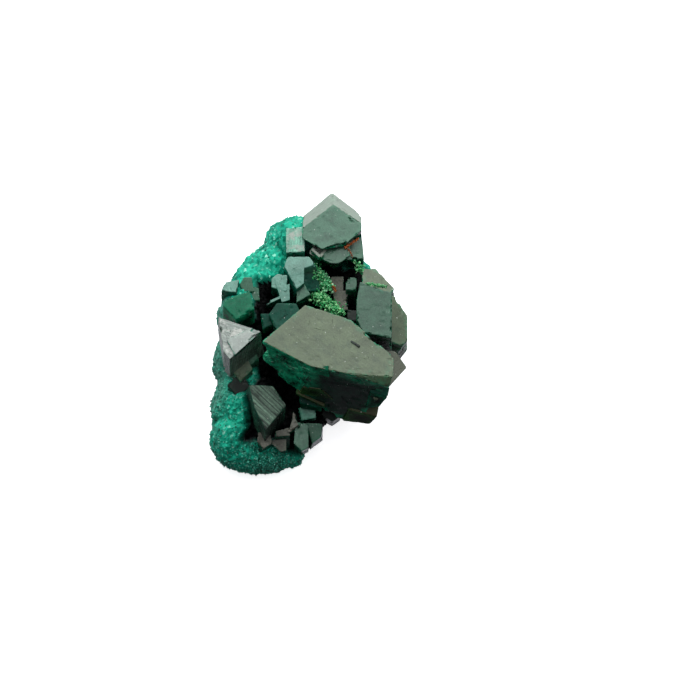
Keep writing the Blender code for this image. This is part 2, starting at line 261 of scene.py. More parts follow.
# %% Planes of a block
# Four spots inside a triangle, as shares of its corners: its middle and one near each corner.
SPOTS = np.array([(1, 1, 1), (4, 1, 1), (1, 4, 1), (1, 1, 4)]) / np.array([[3], [6], [6], [6]])


def elders(name):
    """The crystals that grew before this one, whose faces it stops at, as a search tree."""
    before = [other for other in ORDER[:ORDER.index(name)] if other != "matrix_rock"]
    soup = np.concatenate([BLOCKS[other] for other in before]) if before else np.zeros((1, 3, 3))
    return BVHTree.FromPolygons(soup.reshape(-1, 3).tolist(),
                                np.arange(len(soup) * 3).reshape(-1, 3).tolist())


def natural_planes(name):
    """Normal, offset and whether it meets a neighbour, for each plane with all the block behind it."""
    block = BLOCKS[name]
    across = np.cross(block[:, 1] - block[:, 0], block[:, 2] - block[:, 0])
    area = np.linalg.norm(across, axis=1) / 2
    normals = across / np.maximum(area[:, None] * 2, 1e-12)
    middles = block.mean(axis=1)
    offsets = np.sum(normals * middles, axis=1)
    reach = (block.reshape(-1, 3) @ normals.T).max(axis=0)
    neighbours = elders(name)
    planes = []
    for i in np.argsort(-area):
        known = any(normals[i] @ n > SAME_WAY and abs(offsets[i] - d) < SAME_PLANE for n, d, _ in planes)
        if known or area[i] < SMALLEST or reach[i] > offsets[i] + 0.02:
            continue
        same = (normals @ normals[i] > SAME_WAY) & (np.abs(offsets - offsets[i]) < SAME_PLANE)
        weight = area[same]
        spots = np.einsum("sk,tkc->stc", SPOTS, block[same])
        touching = [[neighbours.ray_cast(spot, normals[i], CLEARANCE)[0] is not None for spot in row]
                    for row in spots]
        planes.append((normals[i], offsets[i], np.mean(touching, axis=0) @ weight > 0.6 * weight.sum()))
    return planes


print("the main crystal has", len(natural_planes("main_crystal")), "natural faces")


# %% The solid behind its planes
def polyhedron(planes, low, high):
    """The convex solid behind all the planes: a box cut back plane by plane."""
    bm = bmesh.new()
    bmesh.ops.create_cube(bm, size=1.0)
    for vertex in bm.verts:
        vertex.co = Vector((low + high) / 2 + np.array(vertex.co) * (high - low))
    for normal, offset, _ in planes:
        cut = bmesh.ops.bisect_plane(bm, geom=bm.verts[:] + bm.edges[:] + bm.faces[:], dist=1e-4,
                                     plane_co=Vector(normal * offset), plane_no=Vector(normal),
                                     clear_outer=True)
        rim = [item for item in cut["geom_cut"] if isinstance(item, bmesh.types.BMEdge)]
        if rim:
            bmesh.ops.contextual_create(bm, geom=rim)
    bmesh.ops.recalc_face_normals(bm, faces=bm.faces)
    polygons = [np.array([corner.co[:] for corner in face.verts]) for face in bm.faces]
    bm.free()
    return polygons


print("a box alone has", len(polyhedron([], np.zeros(3), np.ones(3))), "faces")

# %% [markdown]
# ## Fine faces
# Each face becomes a grid of two parameters: along its rim, and from its middle out to the rim. Both
# faces at an edge split it by its length alone, so their points meet there and merge into one
# closed skin. A subdivided box would spend as many points on the middles as on the edges.

# %% Grids
def rim_points(polygon, spacing):
    """Evenly spaced points round a polygon, each edge split by its own length alone."""
    runs = []
    for start, end in zip(polygon, np.roll(polygon, -1, axis=0)):
        count = max(2, int(math.ceil(np.linalg.norm(end - start) / spacing)))
        runs.append(start + (end - start) * (np.arange(count) / count)[:, None])
    return np.concatenate(runs)


CROWDING = 1.35                              # how strongly the rows crowd towards the rim


def fan_grid(polygon, spacing):
    """A face as a grid: middle + s (rim point - middle), s crowding towards the rim."""
    rim = rim_points(polygon, spacing)
    middle = polygon.mean(axis=0)
    rows = max(4, int(np.linalg.norm(polygon - middle, axis=1).max() / spacing))
    s = 1 - (1 - np.arange(rows + 1) / rows) ** CROWDING
    points = middle + s[:, None, None] * (rim - middle)
    return points, np.broadcast_to(s[:, None], points.shape[:2])


def grid_quads(rows, columns):
    """Corner numbers of a grid's quads, closed along its columns."""
    r, c = np.meshgrid(np.arange(rows - 1), np.arange(columns), indexing="ij")
    nxt = (c + 1) % columns
    return np.stack([r * columns + c, (r + 1) * columns + c, (r + 1) * columns + nxt, r * columns + nxt],
                    axis=-1).reshape(-1, 4)


square = np.array([(0, 0, 0), (1, 0, 0), (1, 1, 0), (0, 1, 0)])
print("a 1 mm square has a grid of", fan_grid(square, 0.25)[1].shape, "points at 0.25 mm")


# %% A mesh with its fields
SHARP = math.radians(38)                     # a turn past this shows as an edge


def put_mesh(name, points, quads, fields, welded=2e-4):
    """A mesh object in metres from points in mm, its doubles merged and its fields as attributes."""
    mesh = bpy.data.meshes.new(name)
    mesh.from_pydata((points * MM).tolist(), [], quads.tolist())
    for key, values in fields.items():
        mesh.attributes.new(key, "FLOAT", "POINT").data.foreach_set("value", values.astype(np.float32))
    bm = bmesh.new()
    bm.from_mesh(mesh)
    bmesh.ops.remove_doubles(bm, verts=bm.verts, dist=welded * MM)
    bmesh.ops.dissolve_degenerate(bm, edges=bm.edges, dist=welded * MM)
    bm.to_mesh(mesh)
    bm.free()
    mesh.shade_smooth()
    mesh.set_sharp_from_angle(angle=SHARP)
    return into_scene(name, mesh)


# %% [markdown]
# ## Wear
# No face of a real crystal is a plane. Growth stops in low terraces, edges are a little round and
# nicked, and the sides of a knocked crystal split off in ledges. All of these take material away, so
# each point just moves towards the crystal's middle, and the skin stays closed.

# %% Wear
BEVEL = 0.035                                # natural rounding of a crystal edge, mm
TREAD = 0.022                                # height of one growth terrace, mm
PIT = 0.05                                   # depth of an etch pit, mm


def worn(points, planes, centre, broken, seed):
    """Wear a crystal: every point moves towards its middle by what growth and knocks left out.

    Edges are rounded by a p-norm of the face distances. Nicks take a flat bite, as deep as the
    edge is near, with a width that belongs to each cell of space. Terraces are contour steps.
    Below the top face, broken says how far the sides have split off in long flat ledges, mm.
    """
    rays = points - centre
    ratios = np.clip(np.stack([(rays @ n) / (d - centre @ n) for n, d in planes]), 0.0, None)
    second = np.sort(ratios, axis=0)[-2]
    size = np.mean([d - centre @ n for n, d in planes])
    power = 0.69 * size / BEVEL
    pull = np.sum(ratios ** power, axis=0) ** (-1 / power)
    from_edge = (1 - second) * size
    _, small = grains(points, 0.55, seed)
    _, large = grains(points, 1.7, seed + 3)
    width = 0.26 * ease(0.66, 1.0, small) + 0.55 * ease(0.86, 1.0, large)
    nick = 0.75 * np.maximum(0.0, width - from_edge)
    contour = 1.7 * drift(points, 4.5, seed + 5) + 0.5 * drift(points, 1.3, seed + 6)
    tread = np.floor(contour)
    terrace = TREAD * (tread + 2 + ease(0.44, 0.56, contour - tread))
    pits = PIT * ease(0.45, 0.8, drift(points, 0.7, seed + 8))
    crown, height = max(planes, key=lambda plane: plane[0][2])
    split = (2.3 * drift(points * (1, 1, 2.6), 3.6, seed + 12)
             + 0.8 * drift(points * (1, 1, 2), 1.1, seed + 13))
    ledge = np.floor(split)
    split = (ledge + 3 + ease(0.42, 0.58, split - ledge)) + 0.5 * np.abs(drift(points, 0.6, seed + 14))
    fracture = broken * 0.25 * np.maximum(0.0, split - 2.2) * ease(0.25, 1.3, height - points @ crown)
    loss = nick + terrace + pits + fracture
    return centre + rays * (pull - loss / size)[:, None], second, size


print("edges are rounded by", BEVEL, "mm, terraces are", TREAD, "mm high")

# %% [markdown]
# ## Dioptase finish
# Dioptase is a deep emerald glass (index 1.65 to 1.71). Faces that look up are painted a sage grey,
# a painted sheen that stands in for the soft box they reflect, while the sides stay clear and look
# almost black, with painted green light leaking out along thin edges. Real refraction would need every
# crystal to be clear to its core, so the depth is painted from the mesh's own attributes:
# - painted sheen says how far a spot is painted as if it reflected the light above, and rim how near a
#   crystal edge it lies;
# - leak says how much green light its side lets out;
# - growth is the place across the growth lines, and lined how strong those are;
# - painted highlight says how much pale highlight is painted on a face turned towards the light.

# %% An empty material
def new_material(name):
    """A material with no nodes yet, and its node tree."""
    material = bpy.data.materials.new(name)
    material.use_nodes = True
    material.node_tree.nodes.clear()
    return material, material.node_tree


# %% Dioptase
# Patterns per metre: clouds 3 mm, grain 0.2 mm, patches 1.6 mm, cracks 3.4 mm and pale flecks 0.3 mm across.
# Real etching is ten times finer than the grain, which is drawn as coarse as it needs to show.
CLOUD, ETCHING, PATCH, CRACK, FLECK = 330.0, 4600.0, 620.0, 290.0, 2900.0


def dioptase(name, painted_sheen, deep, leak, satin=0.40, gloss=0.5, patchy=0.0):
    """Glassy dioptase with a painted sheen on the faces that look up: hex colours of that painted sheen,
    inside and leaking light.

    Patchy says how far the painted pale highlight on its bright faces breaks up into patches.
    """
    material, tree = new_material(name)
    where = add(tree, "TexCoord").outputs["Object"]
    field = {key: add(tree, "Attribute", {"attribute_name": key}).outputs["Fac"]
             for key in ("painted_sheen", "rim", "leak", "growth", "lined", "frost")}
    cloud = add(tree, "TexNoise", Vector=where, Scale=CLOUD, Detail=8.0, Roughness=0.66)
    grain = add(tree, "TexNoise", Vector=where, Scale=ETCHING, Detail=3.0, Roughness=0.7)
    patch = add(tree, "TexNoise", Vector=where, Scale=PATCH, Detail=8.0, Roughness=0.72)
    waver = add(tree, "Math", TIMES, in0=cloud, in1=0.6)
    across = add(tree, "CombineXYZ", X=field["growth"], Y=waver)
    lines = add(tree, "TexNoise", {"noise_dimensions": "2D"}, Scale=2.4, Detail=5.0, Roughness=0.78,
                Vector=across)
    bent = add(tree, "VectorMath", TIMES_PLUS, in0=patch.outputs["Color"], in1=(0.0012, 0.0012, 0.0012),
               in2=where)
    crack = add(tree, "TexVoronoi", {"feature": "DISTANCE_TO_EDGE"}, Vector=bent, Scale=CRACK)
    thread = add(tree, "MapRange", in0=crack.outputs["Distance"], in1=0.0, in2=0.022, in3=1.0, in4=0.0)
    broken = add(tree, "MapRange", in0=cloud, in1=0.54, in2=0.64, in3=0.0, in4=0.7)
    hairline = add(tree, "Math", TIMES, in0=thread, in1=broken)

    near_rim = add(tree, "Math", TIMES_PLUS, in0=field["rim"], in1=0.9, in2=field["leak"])
    leaking = add(tree, "MapRange", in0=patch, in1=0.36, in2=0.60, in3=0.0, in4=1.0)
    leak_amount = add(tree, "Math", {"operation": "MULTIPLY", "use_clamp": True}, in0=leaking,
                      in1=near_rim)
    inner = add(tree, "Mix", COLOURS, in0=leak_amount, in6=colour(deep), in7=colour(leak))

    speckle = add(tree, "MapRange", {"clamp": False}, in0=grain, in1=0.3, in2=0.7, in3=0.80, in4=1.22)
    drifted = add(tree, "MapRange", {"clamp": False}, in0=cloud, in1=0.3, in2=0.7, in3=0.72, in4=1.28)
    ruled = add(tree, "MapRange", {"clamp": False}, in0=lines, in1=0.3, in2=0.7, in3=-0.75, in4=0.75)
    ruling = add(tree, "Math", TIMES_PLUS, in0=ruled, in1=field["lined"], in2=1.0)
    shade = add(tree, "Math", TIMES, in0=speckle, in1=drifted)
    shade = add(tree, "Math", TIMES, in0=shade, in1=ruling)
    # Painted sheen: the sheen colour, varied by grain, clouds and growth lines, stands in for the light that
    # faces looking up reflect.
    etched = add(tree, "Mix", {"data_type": "RGBA", "blend_type": "MULTIPLY"}, in0=1.0, in6=colour(painted_sheen),
                 in7=shade)
    sheen_patches = add(tree, "MapRange", in0=patch, in1=0.50, in2=0.74, in3=1.0, in4=0.45)
    sheen_cover = add(tree, "Math", TIMES, in0=sheen_patches, in1=field["painted_sheen"])
    base = add(tree, "Mix", COLOURS, in0=sheen_cover, in6=inner.outputs["Result"], in7=etched.outputs["Result"])
    # Painted highlight: faces turned the bright way are mixed in patches towards a pale grey-green.
    highlight_patches = add(tree, "MapRange", in0=patch, in1=0.50, in2=0.60, in3=1.0 - patchy, in4=1.0)
    frosting = add(tree, "Math", TIMES, in0=highlight_patches, in1=field["frost"])
    frosted = add(tree, "Mix", COLOURS, in0=frosting, in6=base.outputs["Result"], in7=colour("#AEB3A8"))
    cracked = add(tree, "Mix", COLOURS, in0=hairline, in6=frosted.outputs["Result"], in7=colour(deep))
    # Pale flecks: a sparse noise mixes tiny spots towards near-white.
    fleck_noise = add(tree, "TexNoise", Vector=where, Scale=FLECK, Detail=1.0)
    flecks = add(tree, "MapRange", in0=fleck_noise, in1=0.75, in2=0.78, in3=0.0, in4=0.5)
    flecked = add(tree, "Mix", COLOURS, in0=flecks, in6=cracked.outputs["Result"], in7=colour("#DDE6DC"))

    rough = add(tree, "MapRange", in0=sheen_cover, in1=0.0, in2=1.0, in3=0.20, in4=satin)
    relief = add(tree, "Math", TIMES, in0=ruled, in1=field["lined"])
    fine_bump = add(tree, "Bump", Strength=0.5, Distance=0.00005, Height=grain)
    line_bump = add(tree, "Bump", Strength=0.6, Distance=0.00008, Height=relief, Normal=fine_bump)
    crack_bump = add(tree, "Bump", {"invert": True}, Strength=0.7, Distance=0.00008, Height=hairline,
                     Normal=line_bump)
    shader = add(tree, "BsdfPrincipled", Base_Color=flecked.outputs["Result"], Roughness=rough, IOR=1.67,
                 Specular_IOR_Level=gloss, Normal=crack_bump)
    add(tree, "OutputMaterial", Surface=shader)
    return material


# %% The finishes of the crystals
# Faces that look up are satin, painted a grey-green sheen over dark glass as if they reflected the
# light above. The clear ones hardly reflect a haze and look deep. Bright and cleaved faces keep their
# lustre under patches of painted pale highlight.
SAGE = dioptase("dioptase_etched_sage", "#516047", "#03080A", "#1CA374", 0.40, 0.25)
CROWN = dioptase("dioptase_etched_grey_green", "#436B56", "#03100C", "#0F7A55", 0.40, 0.25)
SHOULDER = dioptase("dioptase_etched_dark_grey_green", "#3A5D4A", "#03100C", "#0F7A55", 0.40, 0.22)
BLUE_GREY = dioptase("dioptase_etched_blue_green", "#659584", "#030D0C", "#0C6B52", 0.36, 0.30)
RULED = dioptase("dioptase_growth_lined", "#4C6253", "#04090A", "#125A40", 0.38, 0.25)
MAUVE = dioptase("dioptase_etched_mauve_grey", "#626357", "#04090A", "#125A40", 0.40, 0.22)
DEEP = dioptase("dioptase_clear_deep_green", "#10684A", "#021A12", "#0C7F58", 0.34, 0.12)
DARK = dioptase("dioptase_clear_bottle_green", "#0A4536", "#010806", "#0C6B4C", 0.30, 0.10)
BRIGHT = dioptase("dioptase_bright_lustre", "#65766A", "#06130F", "#1B7A5C", 0.22, 0.8, 0.9)
PALE = dioptase("dioptase_cleaved_pale", "#6FB096", "#0B3A2B", "#3FAF8A", 0.30, 0.4, 0.95)
# Painted shade: a near-black finish for the crystals that sit in shade in the recess and at the left foot,
# and for the dark wedge on the big crystal.
SHADED = dioptase("dioptase_painted_recess_shade", "#262D28", "#020505", "#0B3A2B", 0.45, 0.12)
MOSS = dioptase("dioptase_etched_moss", "#454C3B", "#04090A", "#125A40", 0.40, 0.20)
OLIVE = dioptase("dioptase_iron_stained_olive", "#4A4A30", "#0A0D06", "#2C5A2A", 0.45, 0.20)
print("finishes:", ", ".join(sorted(m.name for m in bpy.data.materials)))

# %% [markdown]
# ## Which crystal wears which finish
# The record's slots give the finish of most crystals, and some have one of their own. A few crystals
# also carry growth lines, a painted highlight, painted sheen on their sides or a broken front, each given by
# its strength.

# %% Finishes given out
FINISH = {
    "dioptase_sage": SAGE, "dioptase_grey_green": CROWN, "dioptase_mauve_grey": MAUVE,
    "dioptase_deep_green": DEEP, "dioptase_pale": PALE, "druse_teal": DEEP,
}
OWN_FINISH = {
    "shiny_crystal": BRIGHT, "upper_crystal": BLUE_GREY, "centre_crystal": BLUE_GREY, "twin_back": BLUE_GREY,
    "twin_front": BLUE_GREY, "plate_outer": BLUE_GREY, "right_crystal": SHOULDER, "small_block": SHOULDER,
    "slot_block": SHADED, "hex_crystal": DARK, "teal_block": DARK, "green_flank": DARK,
    "chip_crystal": PALE, "left_plate": SAGE, "left_foot": SHADED, "foot_crystal": SHADED,
    "left_body": CROWN, "crown_step": SHOULDER, "right_low_crystal": MOSS, "shoulder_slab": SAGE,
    "right_flank": SAGE, "striated_crystal": RULED,
}
LINED = {"shiny_crystal": 0.8, "striated_crystal": 2.0, "pale_facet": 0.5}   # strength of growth lines
LINES_RUN = {"shiny_crystal": 118.0, "striated_crystal": 129.0, "pale_facet": 10.0}   # their heading
GREEN_SIDES = {"main_crystal": 1.1, "crown_crystal": 0.7, "left_block": 0.8}   # light leaking out
SIDE_SHEEN = {"shiny_crystal": 1.0, "left_body": 0.55, "left_plate": 0.6, "striated_crystal": 0.25,
             "right_flank": 0.4, "small_block": 0.3}                           # sides painted with sheen
# Painted highlight: the way each crystal's faces must look to get a pale highlight, and its strength.
PAINTED_HIGHLIGHTS = {"crown_crystal": (0.0, 1.0, 0.0, 0.42), "shiny_crystal": (0.0, 0.0, 1.0, 0.9),
           "pale_facet": (0.0, 0.0, 1.0, 0.8), "zigzag_plate": (0.0, 0.0, 1.0, 0.6),
           "tooth_left": (0.0, 0.0, 1.0, 0.5), "tooth_right": (0.0, 0.0, 1.0, 0.5),
           "shiny_layer": (0.0, 0.0, 1.0, 0.35)}   # bright way, strength
BROKEN = {"main_crystal": 0.90, "crown_crystal": 0.04, "right_flank": 0.5, "left_body": 0.4}   # mm
FAINT_LINES, DIM_SIDES, SOUND = 0.10, 0.30, 0.12   # every other crystal's lines, leak and break
print(len(OWN_FINISH), "crystals have a finish of their own")

# %% [markdown]
# ## Growing the crystals
# Every block of the frame is grown the same way: planes, fine faces, worn edges, growth steps. The
# step between points grows with the crystal, so that a small one isn't heavier than it needs to be.
# How much painted sheen a face carries follows how far it looks up, with its own luck, as if it
# reflected the light above. Light leaks out of the sides that look left, and growth lines run along a
# heading, each face measuring its own place across them.

# %% Growing
STEPS_ACROSS, FINEST, COARSEST = 62, 0.13, 0.29   # points across a crystal, and their step, mm


def grow(name, planes, low, high, material, seed):
    """Grow one crystal inside its planes, as a closed fine mesh of one face after another."""
    polygons = polyhedron(planes, low, high)
    hull = []
    for polygon in polygons:
        normal = np.cross(polygon[1] - polygon[0], polygon[2] - polygon[1])
        normal /= np.linalg.norm(normal)
        hull.append((normal, normal @ polygon[0]))
    centre = np.concatenate(polygons).mean(axis=0)
    spacing = float(np.clip(np.max(high - low) / STEPS_ACROSS, FINEST, COARSEST))
    heading = math.radians(LINES_RUN.get(name, 37.0 * seed))
    all_points, all_quads, fields, total = [], [], [], 0
    for k, (polygon, (normal, _)) in enumerate(zip(polygons, hull)):
        points, s = fan_grid(polygon, spacing)
        rows, columns = s.shape
        flat = points.reshape(-1, 3)
        side = np.cross(normal, (math.cos(heading), -math.sin(heading), 0.15))
        side /= np.linalg.norm(side)
        luck = 0.86 + 0.14 * float(lattice(np.array([[k, seed, 5]]), 3)[0])
        # Painted sheen: faces that look up, and the listed sides, are painted lighter as if they reflected
        # the light above.
        painted_sheen = max(ease(0.15, 0.70, normal[2]), SIDE_SHEEN.get(name, 0.0)) * luck
        leak = GREEN_SIDES.get(name, DIM_SIDES) * ease(0.25, 0.45, -normal[0]) * (1 - abs(normal[2]))
        # Painted highlight: faces turned the bright way get a pale highlight painted on.
        *bright_way, frosted = PAINTED_HIGHLIGHTS.get(name, (0.0, 0.0, 1.0, 0.0))
        frost = frosted * ease(0.25, 0.50, float(normal @ np.array(bright_way)))
        all_points.append(flat)
        all_quads.append(grid_quads(rows, columns) + total)
        fields.append(np.column_stack([np.full(len(flat), painted_sheen), np.full(len(flat), 0.08 + leak),
                                       np.full(len(flat), frost), np.cross(side, normal) @ flat.T]))
        total += len(flat)
    points, nearness, size = worn(np.concatenate(all_points), hull, centre, BROKEN.get(name, SOUND), seed)
    painted_sheen, leak, frost, growth = np.concatenate(fields).T
    crystal = put_mesh(name + "_crystal", points, np.concatenate(all_quads),
                       {"painted_sheen": painted_sheen, "leak": leak, "frost": frost, "growth": growth,
                        "rim": ease(1 - 1.2 / size, 1.0, nearness),
                        "lined": np.full(len(points), LINED.get(name, FAINT_LINES))})
    crystal.data.materials.append(material)
    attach(crystal, "root")
    return crystal


# %% Every block
def grow_block(name, seed):
    """Grow the crystal that takes a frame block's place."""
    corners = BLOCKS[name].reshape(-1, 3)
    planes = [(n, d + (PUSH if meets else 0.0), meets) for n, d, meets in natural_planes(name)]
    crystal = grow(name, planes, corners.min(axis=0) - MARGIN, corners.max(axis=0) + MARGIN,
                   OWN_FINISH.get(name, FINISH[SLOTS[name]]), seed)
    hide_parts(name)
    return crystal


CRYSTAL_NAMES = [n for n in BLOCKS if n not in ("matrix_rock", "upper_druse", "lower_druse")]
crystals = {name: grow_block(name, 11 + 7 * i) for i, name in enumerate(sorted(CRYSTAL_NAMES))}
print(len(crystals), "crystals,", sum(len(c.data.polygons) for c in crystals.values()), "faces")

# %% [markdown]
# ## Broken ledges
# The big crystal's front has split along its cleavage. A few slivers still stand out of the dark
# faces and catch the light. A thin dark wedge in the near-black painted shade finish lies on its top,
# the bright crystal on the left has a raised layer, a splinter stands beside the twins, and the thin
# plate ends in two teeth. Each of these is a crystal of its own, given by its middle in the growth
# plan and by its faces: compass heading, rise and distance in mm. Cutting them from the big crystals
# would cost far more faces.

# %% Ledges
LEDGES = (
    ("main_ledge", (0.0, -12.40, 10.9), OLIVE,
     ((191, 5, 0.50), (100, 0, 2.6), (280, 0, 2.3), (120, 62, 0.22), (280, -62, 0.30), (11, 0, 0.8))),
    ("olive_window", (0.6, -12.45, 12.9), OLIVE,
     ((191, 5, 0.10), (100, 40, 1.8), (270, 20, 1.9), (200, 70, 1.0), (0, -80, 1.2), (11, 0, 0.5))),
    ("lower_ledge", (0.3, -12.70, 9.0), DARK,
     ((190, 5, 0.40), (100, 0, 1.7), (262, 0, 1.9), (180, 62, 0.6), (0, -90, 1.0), (0, 0, 1.2))),
    ("corner_fragment", (7.9, -14.30, 7.7), OLIVE,
     ((191, 5, 0.18), (90, -23, 2.1), (250, 15, 2.0), (180, 60, 1.6), (180, -70, 1.3), (0, 0, 1.0))),
    ("right_fragment", (10.4, -14.30, 13.2), DARK,
     ((191, 5, 0.15), (90, -23, 1.2), (250, 10, 1.0), (180, 60, 1.9), (160, -60, 1.8), (0, 0, 1.0))),
    ("bruise", (1.9, -12.20, 18.7), DEEP,
     ((196, 15, 0.14), (100, 10, 1.3), (270, 0, 1.2), (200, 55, 0.6), (0, -80, 0.6), (0, 0, 0.5))),
    ("chip_scar", (7.2, -7.6, 19.74), SHADED,
     ((35, 0, 0.18), (215, 0, 0.25), (125, 0, 1.0), (305, 0, 0.9), (0, 90, 0.14), (0, -90, 0.3))),
    ("shiny_layer", (-11.9, -5.3, 17.0), BRIGHT,
     ((249, 75, 0.26), (334, 10, 0.6), (27, 5, 2.7), (139, 0, 2.15), (246, 0, 1.3), (69, -75, 0.6))),
    ("twin_splinter", (-5.7, 4.3, 13.0), BLUE_GREY,
     ((157, 0, 0.22), (337, 0, 0.22), (67, 0, 1.4), (247, 0, 1.5), (200, 75, 0.2), (0, -90, 1.5))),
    ("tooth_left", (0.9, 11.75, 15.3), SAGE,
     ((45, 0, 0.26), (225, 0, 0.26), (135, 0, 1.15), (315, 0, 1.0), (180, 80, 0.25), (0, -90, 1.2))),
    ("tooth_right", (2.25, 11.9, 15.3), SAGE,
     ((125, 0, 0.26), (305, 0, 0.26), (35, 0, 1.2), (215, 0, 1.15), (180, 80, 0.25), (0, -90, 1.2))),
)
REACH = 5.0                                  # no sliver runs further than this from its middle, mm


def grow_ledge(name, middle, material, faces, seed):
    """Grow a sliver from its middle and faces; headings turn from +Y towards +X."""
    centre = np.array(middle) + PLAN
    planes = []
    for heading, rise, distance in faces:
        turn, climb = math.radians(heading), math.radians(rise)
        level = np.array((math.sin(turn), math.cos(turn), 0.0)) * math.cos(climb)
        normal = level + (0.0, 0.0, math.sin(climb))
        planes.append((normal, normal @ centre + distance, False))
    return grow(name, planes, centre - REACH, centre + REACH, material, seed)


ledges = [grow_ledge(name, middle, material, faces, 401 + 9 * i)
          for i, (name, middle, material, faces) in enumerate(LEDGES)]
print(len(ledges), "ledges")

# %% [markdown]
# ## The matrix
# The rock is one lump: a ball spread along a spine and pushed out to the soft union of round lumps,
# with kidney-shaped knobs and a granular crust on top. Its crust is teal outside, and in the sunken
# hollow between the crystals it is painted near-black as shade. Blending balls with metaballs
# would do too, but rays from a spine give a clean grid.

# %% Matrix shape
SPINE_FRONT = np.array((-6.5, -12.5, 4.0)) + PLAN
SPINE_BACK = np.array((-2.0, 11.5, 5.5)) + PLAN
SOFTNESS = 9.0                               # a higher power leaves sharper valleys between lumps
LUMPS = (                                    # x, y, z and radius in the growth plan, mm
    (-1.5, -1.5, 1.5, 10.0), (-8.5, -13.5, 2.2, 6.0), (-4.0, 10.5, 2.5, 6.6), (5.0, 4.0, 1.5, 7.0),
    (-9.5, -3.0, 5.5, 6.0), (-9.6, -11.0, 4.2, 6.1), (-11.0, -16.2, 3.6, 4.4),
    (-7.0, -17.0, 3.4, 4.1), (-3.0, -14.5, 1.8, 4.6), (0.0, -9.0, 2.5, 5.2),
    (-10.0, 4.0, 8.5, 4.9), (-8.1, 9.3, 8.9, 4.4), (-5.5, 13.0, 9.4, 3.9),
    (-2.2, 16.6, 9.8, 4.7), (2.4, 13.5, 6.0, 5.6), (6.0, 10.0, 5.0, 5.0),
    (9.0, 4.0, 4.0, 4.8), (8.3, -1.5, 4.0, 4.7), (5.0, 2.0, 4.5, 6.0),
    (-5.0, 5.0, 6.0, 5.0), (5.8, -7.0, 3.0, 4.2),
)


def lump_reach(starts, rays, middle, radius):
    """How far each ray runs before it leaves a round lump, 0 where it misses."""
    offset = middle - starts
    along = np.sum(rays * offset, axis=1)
    inside = radius ** 2 - (np.sum(offset * offset, axis=1) - along ** 2)
    return np.where(inside > 0, np.maximum(along + np.sqrt(np.maximum(inside, 0)), 0), 0)


def rock_points(turns, climbs):
    """Rock surface for each direction: spine start + ray x soft union of the lumps' reach."""
    rays = np.stack([np.cos(turns) * np.cos(climbs), np.sin(climbs), np.sin(turns) * np.cos(climbs)], axis=1)
    share = 0.5 + 0.5 * rays[:, 1:2]
    starts = SPINE_FRONT + share * (SPINE_BACK - SPINE_FRONT)
    total = np.zeros(len(rays))
    for x, y, z, radius in LUMPS:
        total += lump_reach(starts, rays, np.array((x, y, z)) + PLAN, radius) ** SOFTNESS
    reach = total ** (1 / SOFTNESS)
    return starts + rays * reach[:, None], rays


print(len(LUMPS), "lumps along a spine of", round(float(np.linalg.norm(SPINE_BACK - SPINE_FRONT)), 1), "mm")


# %% Matrix skin
def sunken_shade_mask(points):
    """1 in the sunken hollow among the crystals, which is painted near-black as shade, 0 out on the crust.
    """
    x, y = (points - PLAN)[:, :2].T
    wobble = 0.9 * drift(points, 2.2, 77)
    top = 8.6 + 4.4 * ease(-5.0, -2.5, x)
    left = -9.3 - 1.4 * ease(-9.0, -12.0, y) - 2.2 * ease(-5.0, -3.5, y) * (1 - ease(0.5, 2.0, y))
    inside = ease(left - 0.4, left + 0.4, x + wobble) * (1 - ease(top - 0.5, top + 0.5, y + wobble))
    return inside * ease(-19.2, -18.4, y + wobble) * (1 - ease(10.5, 11.5, x + wobble) * ease(-4.0, -2.0, y))


def crusted(points, rays):
    """Rock skin: knobs of 3 mm as round domes, blocky grains of 0.7 mm, and a sunken hollow."""
    bent = points + 0.6 * drift(points, 1.7, 3)[:, None]
    knob, _ = grains(bent, 3.6, 21)
    bud, _ = grains(bent, 1.6, 27)
    grain, own = grains(points, 0.62, 33)
    dome = np.sqrt(np.clip(1 - 1.2 * knob * knob, 0, 1))
    block = own * (1 - ease(0.30, 0.60, grain))
    hollow = sunken_shade_mask(points)
    height = 0.95 * dome + 0.30 * (1 - bud * bud) + 0.26 * block + 0.12 * drift(points, 1.1, 5)
    height = height * (1 - hollow) + hollow * (0.35 * block + 0.25 * drift(points, 1.6, 6) - 0.45)
    out = points + rays * (height - 1.05)[:, None]
    out[:, 2] = np.maximum(out[:, 2], 0.0)
    # Painted shade: the crust comes out lighter on knob tops and darker in the crevices between them.
    crest = np.clip(0.45 * dome + 0.35 * (1 - bud * bud) + 0.35 * block, 0, 1)
    # The last mask marks the far-left wall, which the crust paints a paler grey-green as a stand-in for
    # light it reflects at a grazing angle.
    return out, crest, hollow, ease(-12.6, -14.2, out[:, 0]) * ease(-16.0, -11.0, out[:, 1])


# %% Matrix mesh
AROUND_COUNT, ALONG_COUNT = 400, 230         # points round the spine and from end to end
turn, climb = np.meshgrid(np.linspace(0, 2 * math.pi, AROUND_COUNT, endpoint=False),
                          np.linspace(-math.pi / 2, math.pi / 2, ALONG_COUNT), indexing="xy")
shape, rays = rock_points(turn.reshape(-1), climb.reshape(-1))
shape, crest, hollow, wall = crusted(shape, rays)
rock = put_mesh("matrix_crust", shape, grid_quads(ALONG_COUNT, AROUND_COUNT)[:, ::-1],
                {"hollow": hollow, "crest": crest, "wall": wall}, 1e-3)
print("rock:", len(rock.data.polygons), "faces")

# %% [markdown]
# ## Matrix finish
# The crust is a felt of teal chrysocolla and tiny dioptase crystals. Its colour wanders from dark
# bottle green to bright turquoise over millimetres, with painted shade that darkens the crevices and
# lightens the crests. Each grain catches the light on its own, which is what makes it sparkle, and a
# few grains on the crests get a painted white glint as well. A cell pattern turns every grain its own
# way, which costs nothing, where a mesh of real grains would run to millions of faces. The wall at the
# far left is painted a greyer sheen that stands in for light it reflects at a grazing angle, and the
# hollow among the crystals is painted near-black as shade.

# %% Crust
GRAIN = 0.42                                 # width of one glinting grain, mm
WANDER, FELT = 210.0, 950.0                  # patterns per metre: 4.8 mm and 1.1 mm across


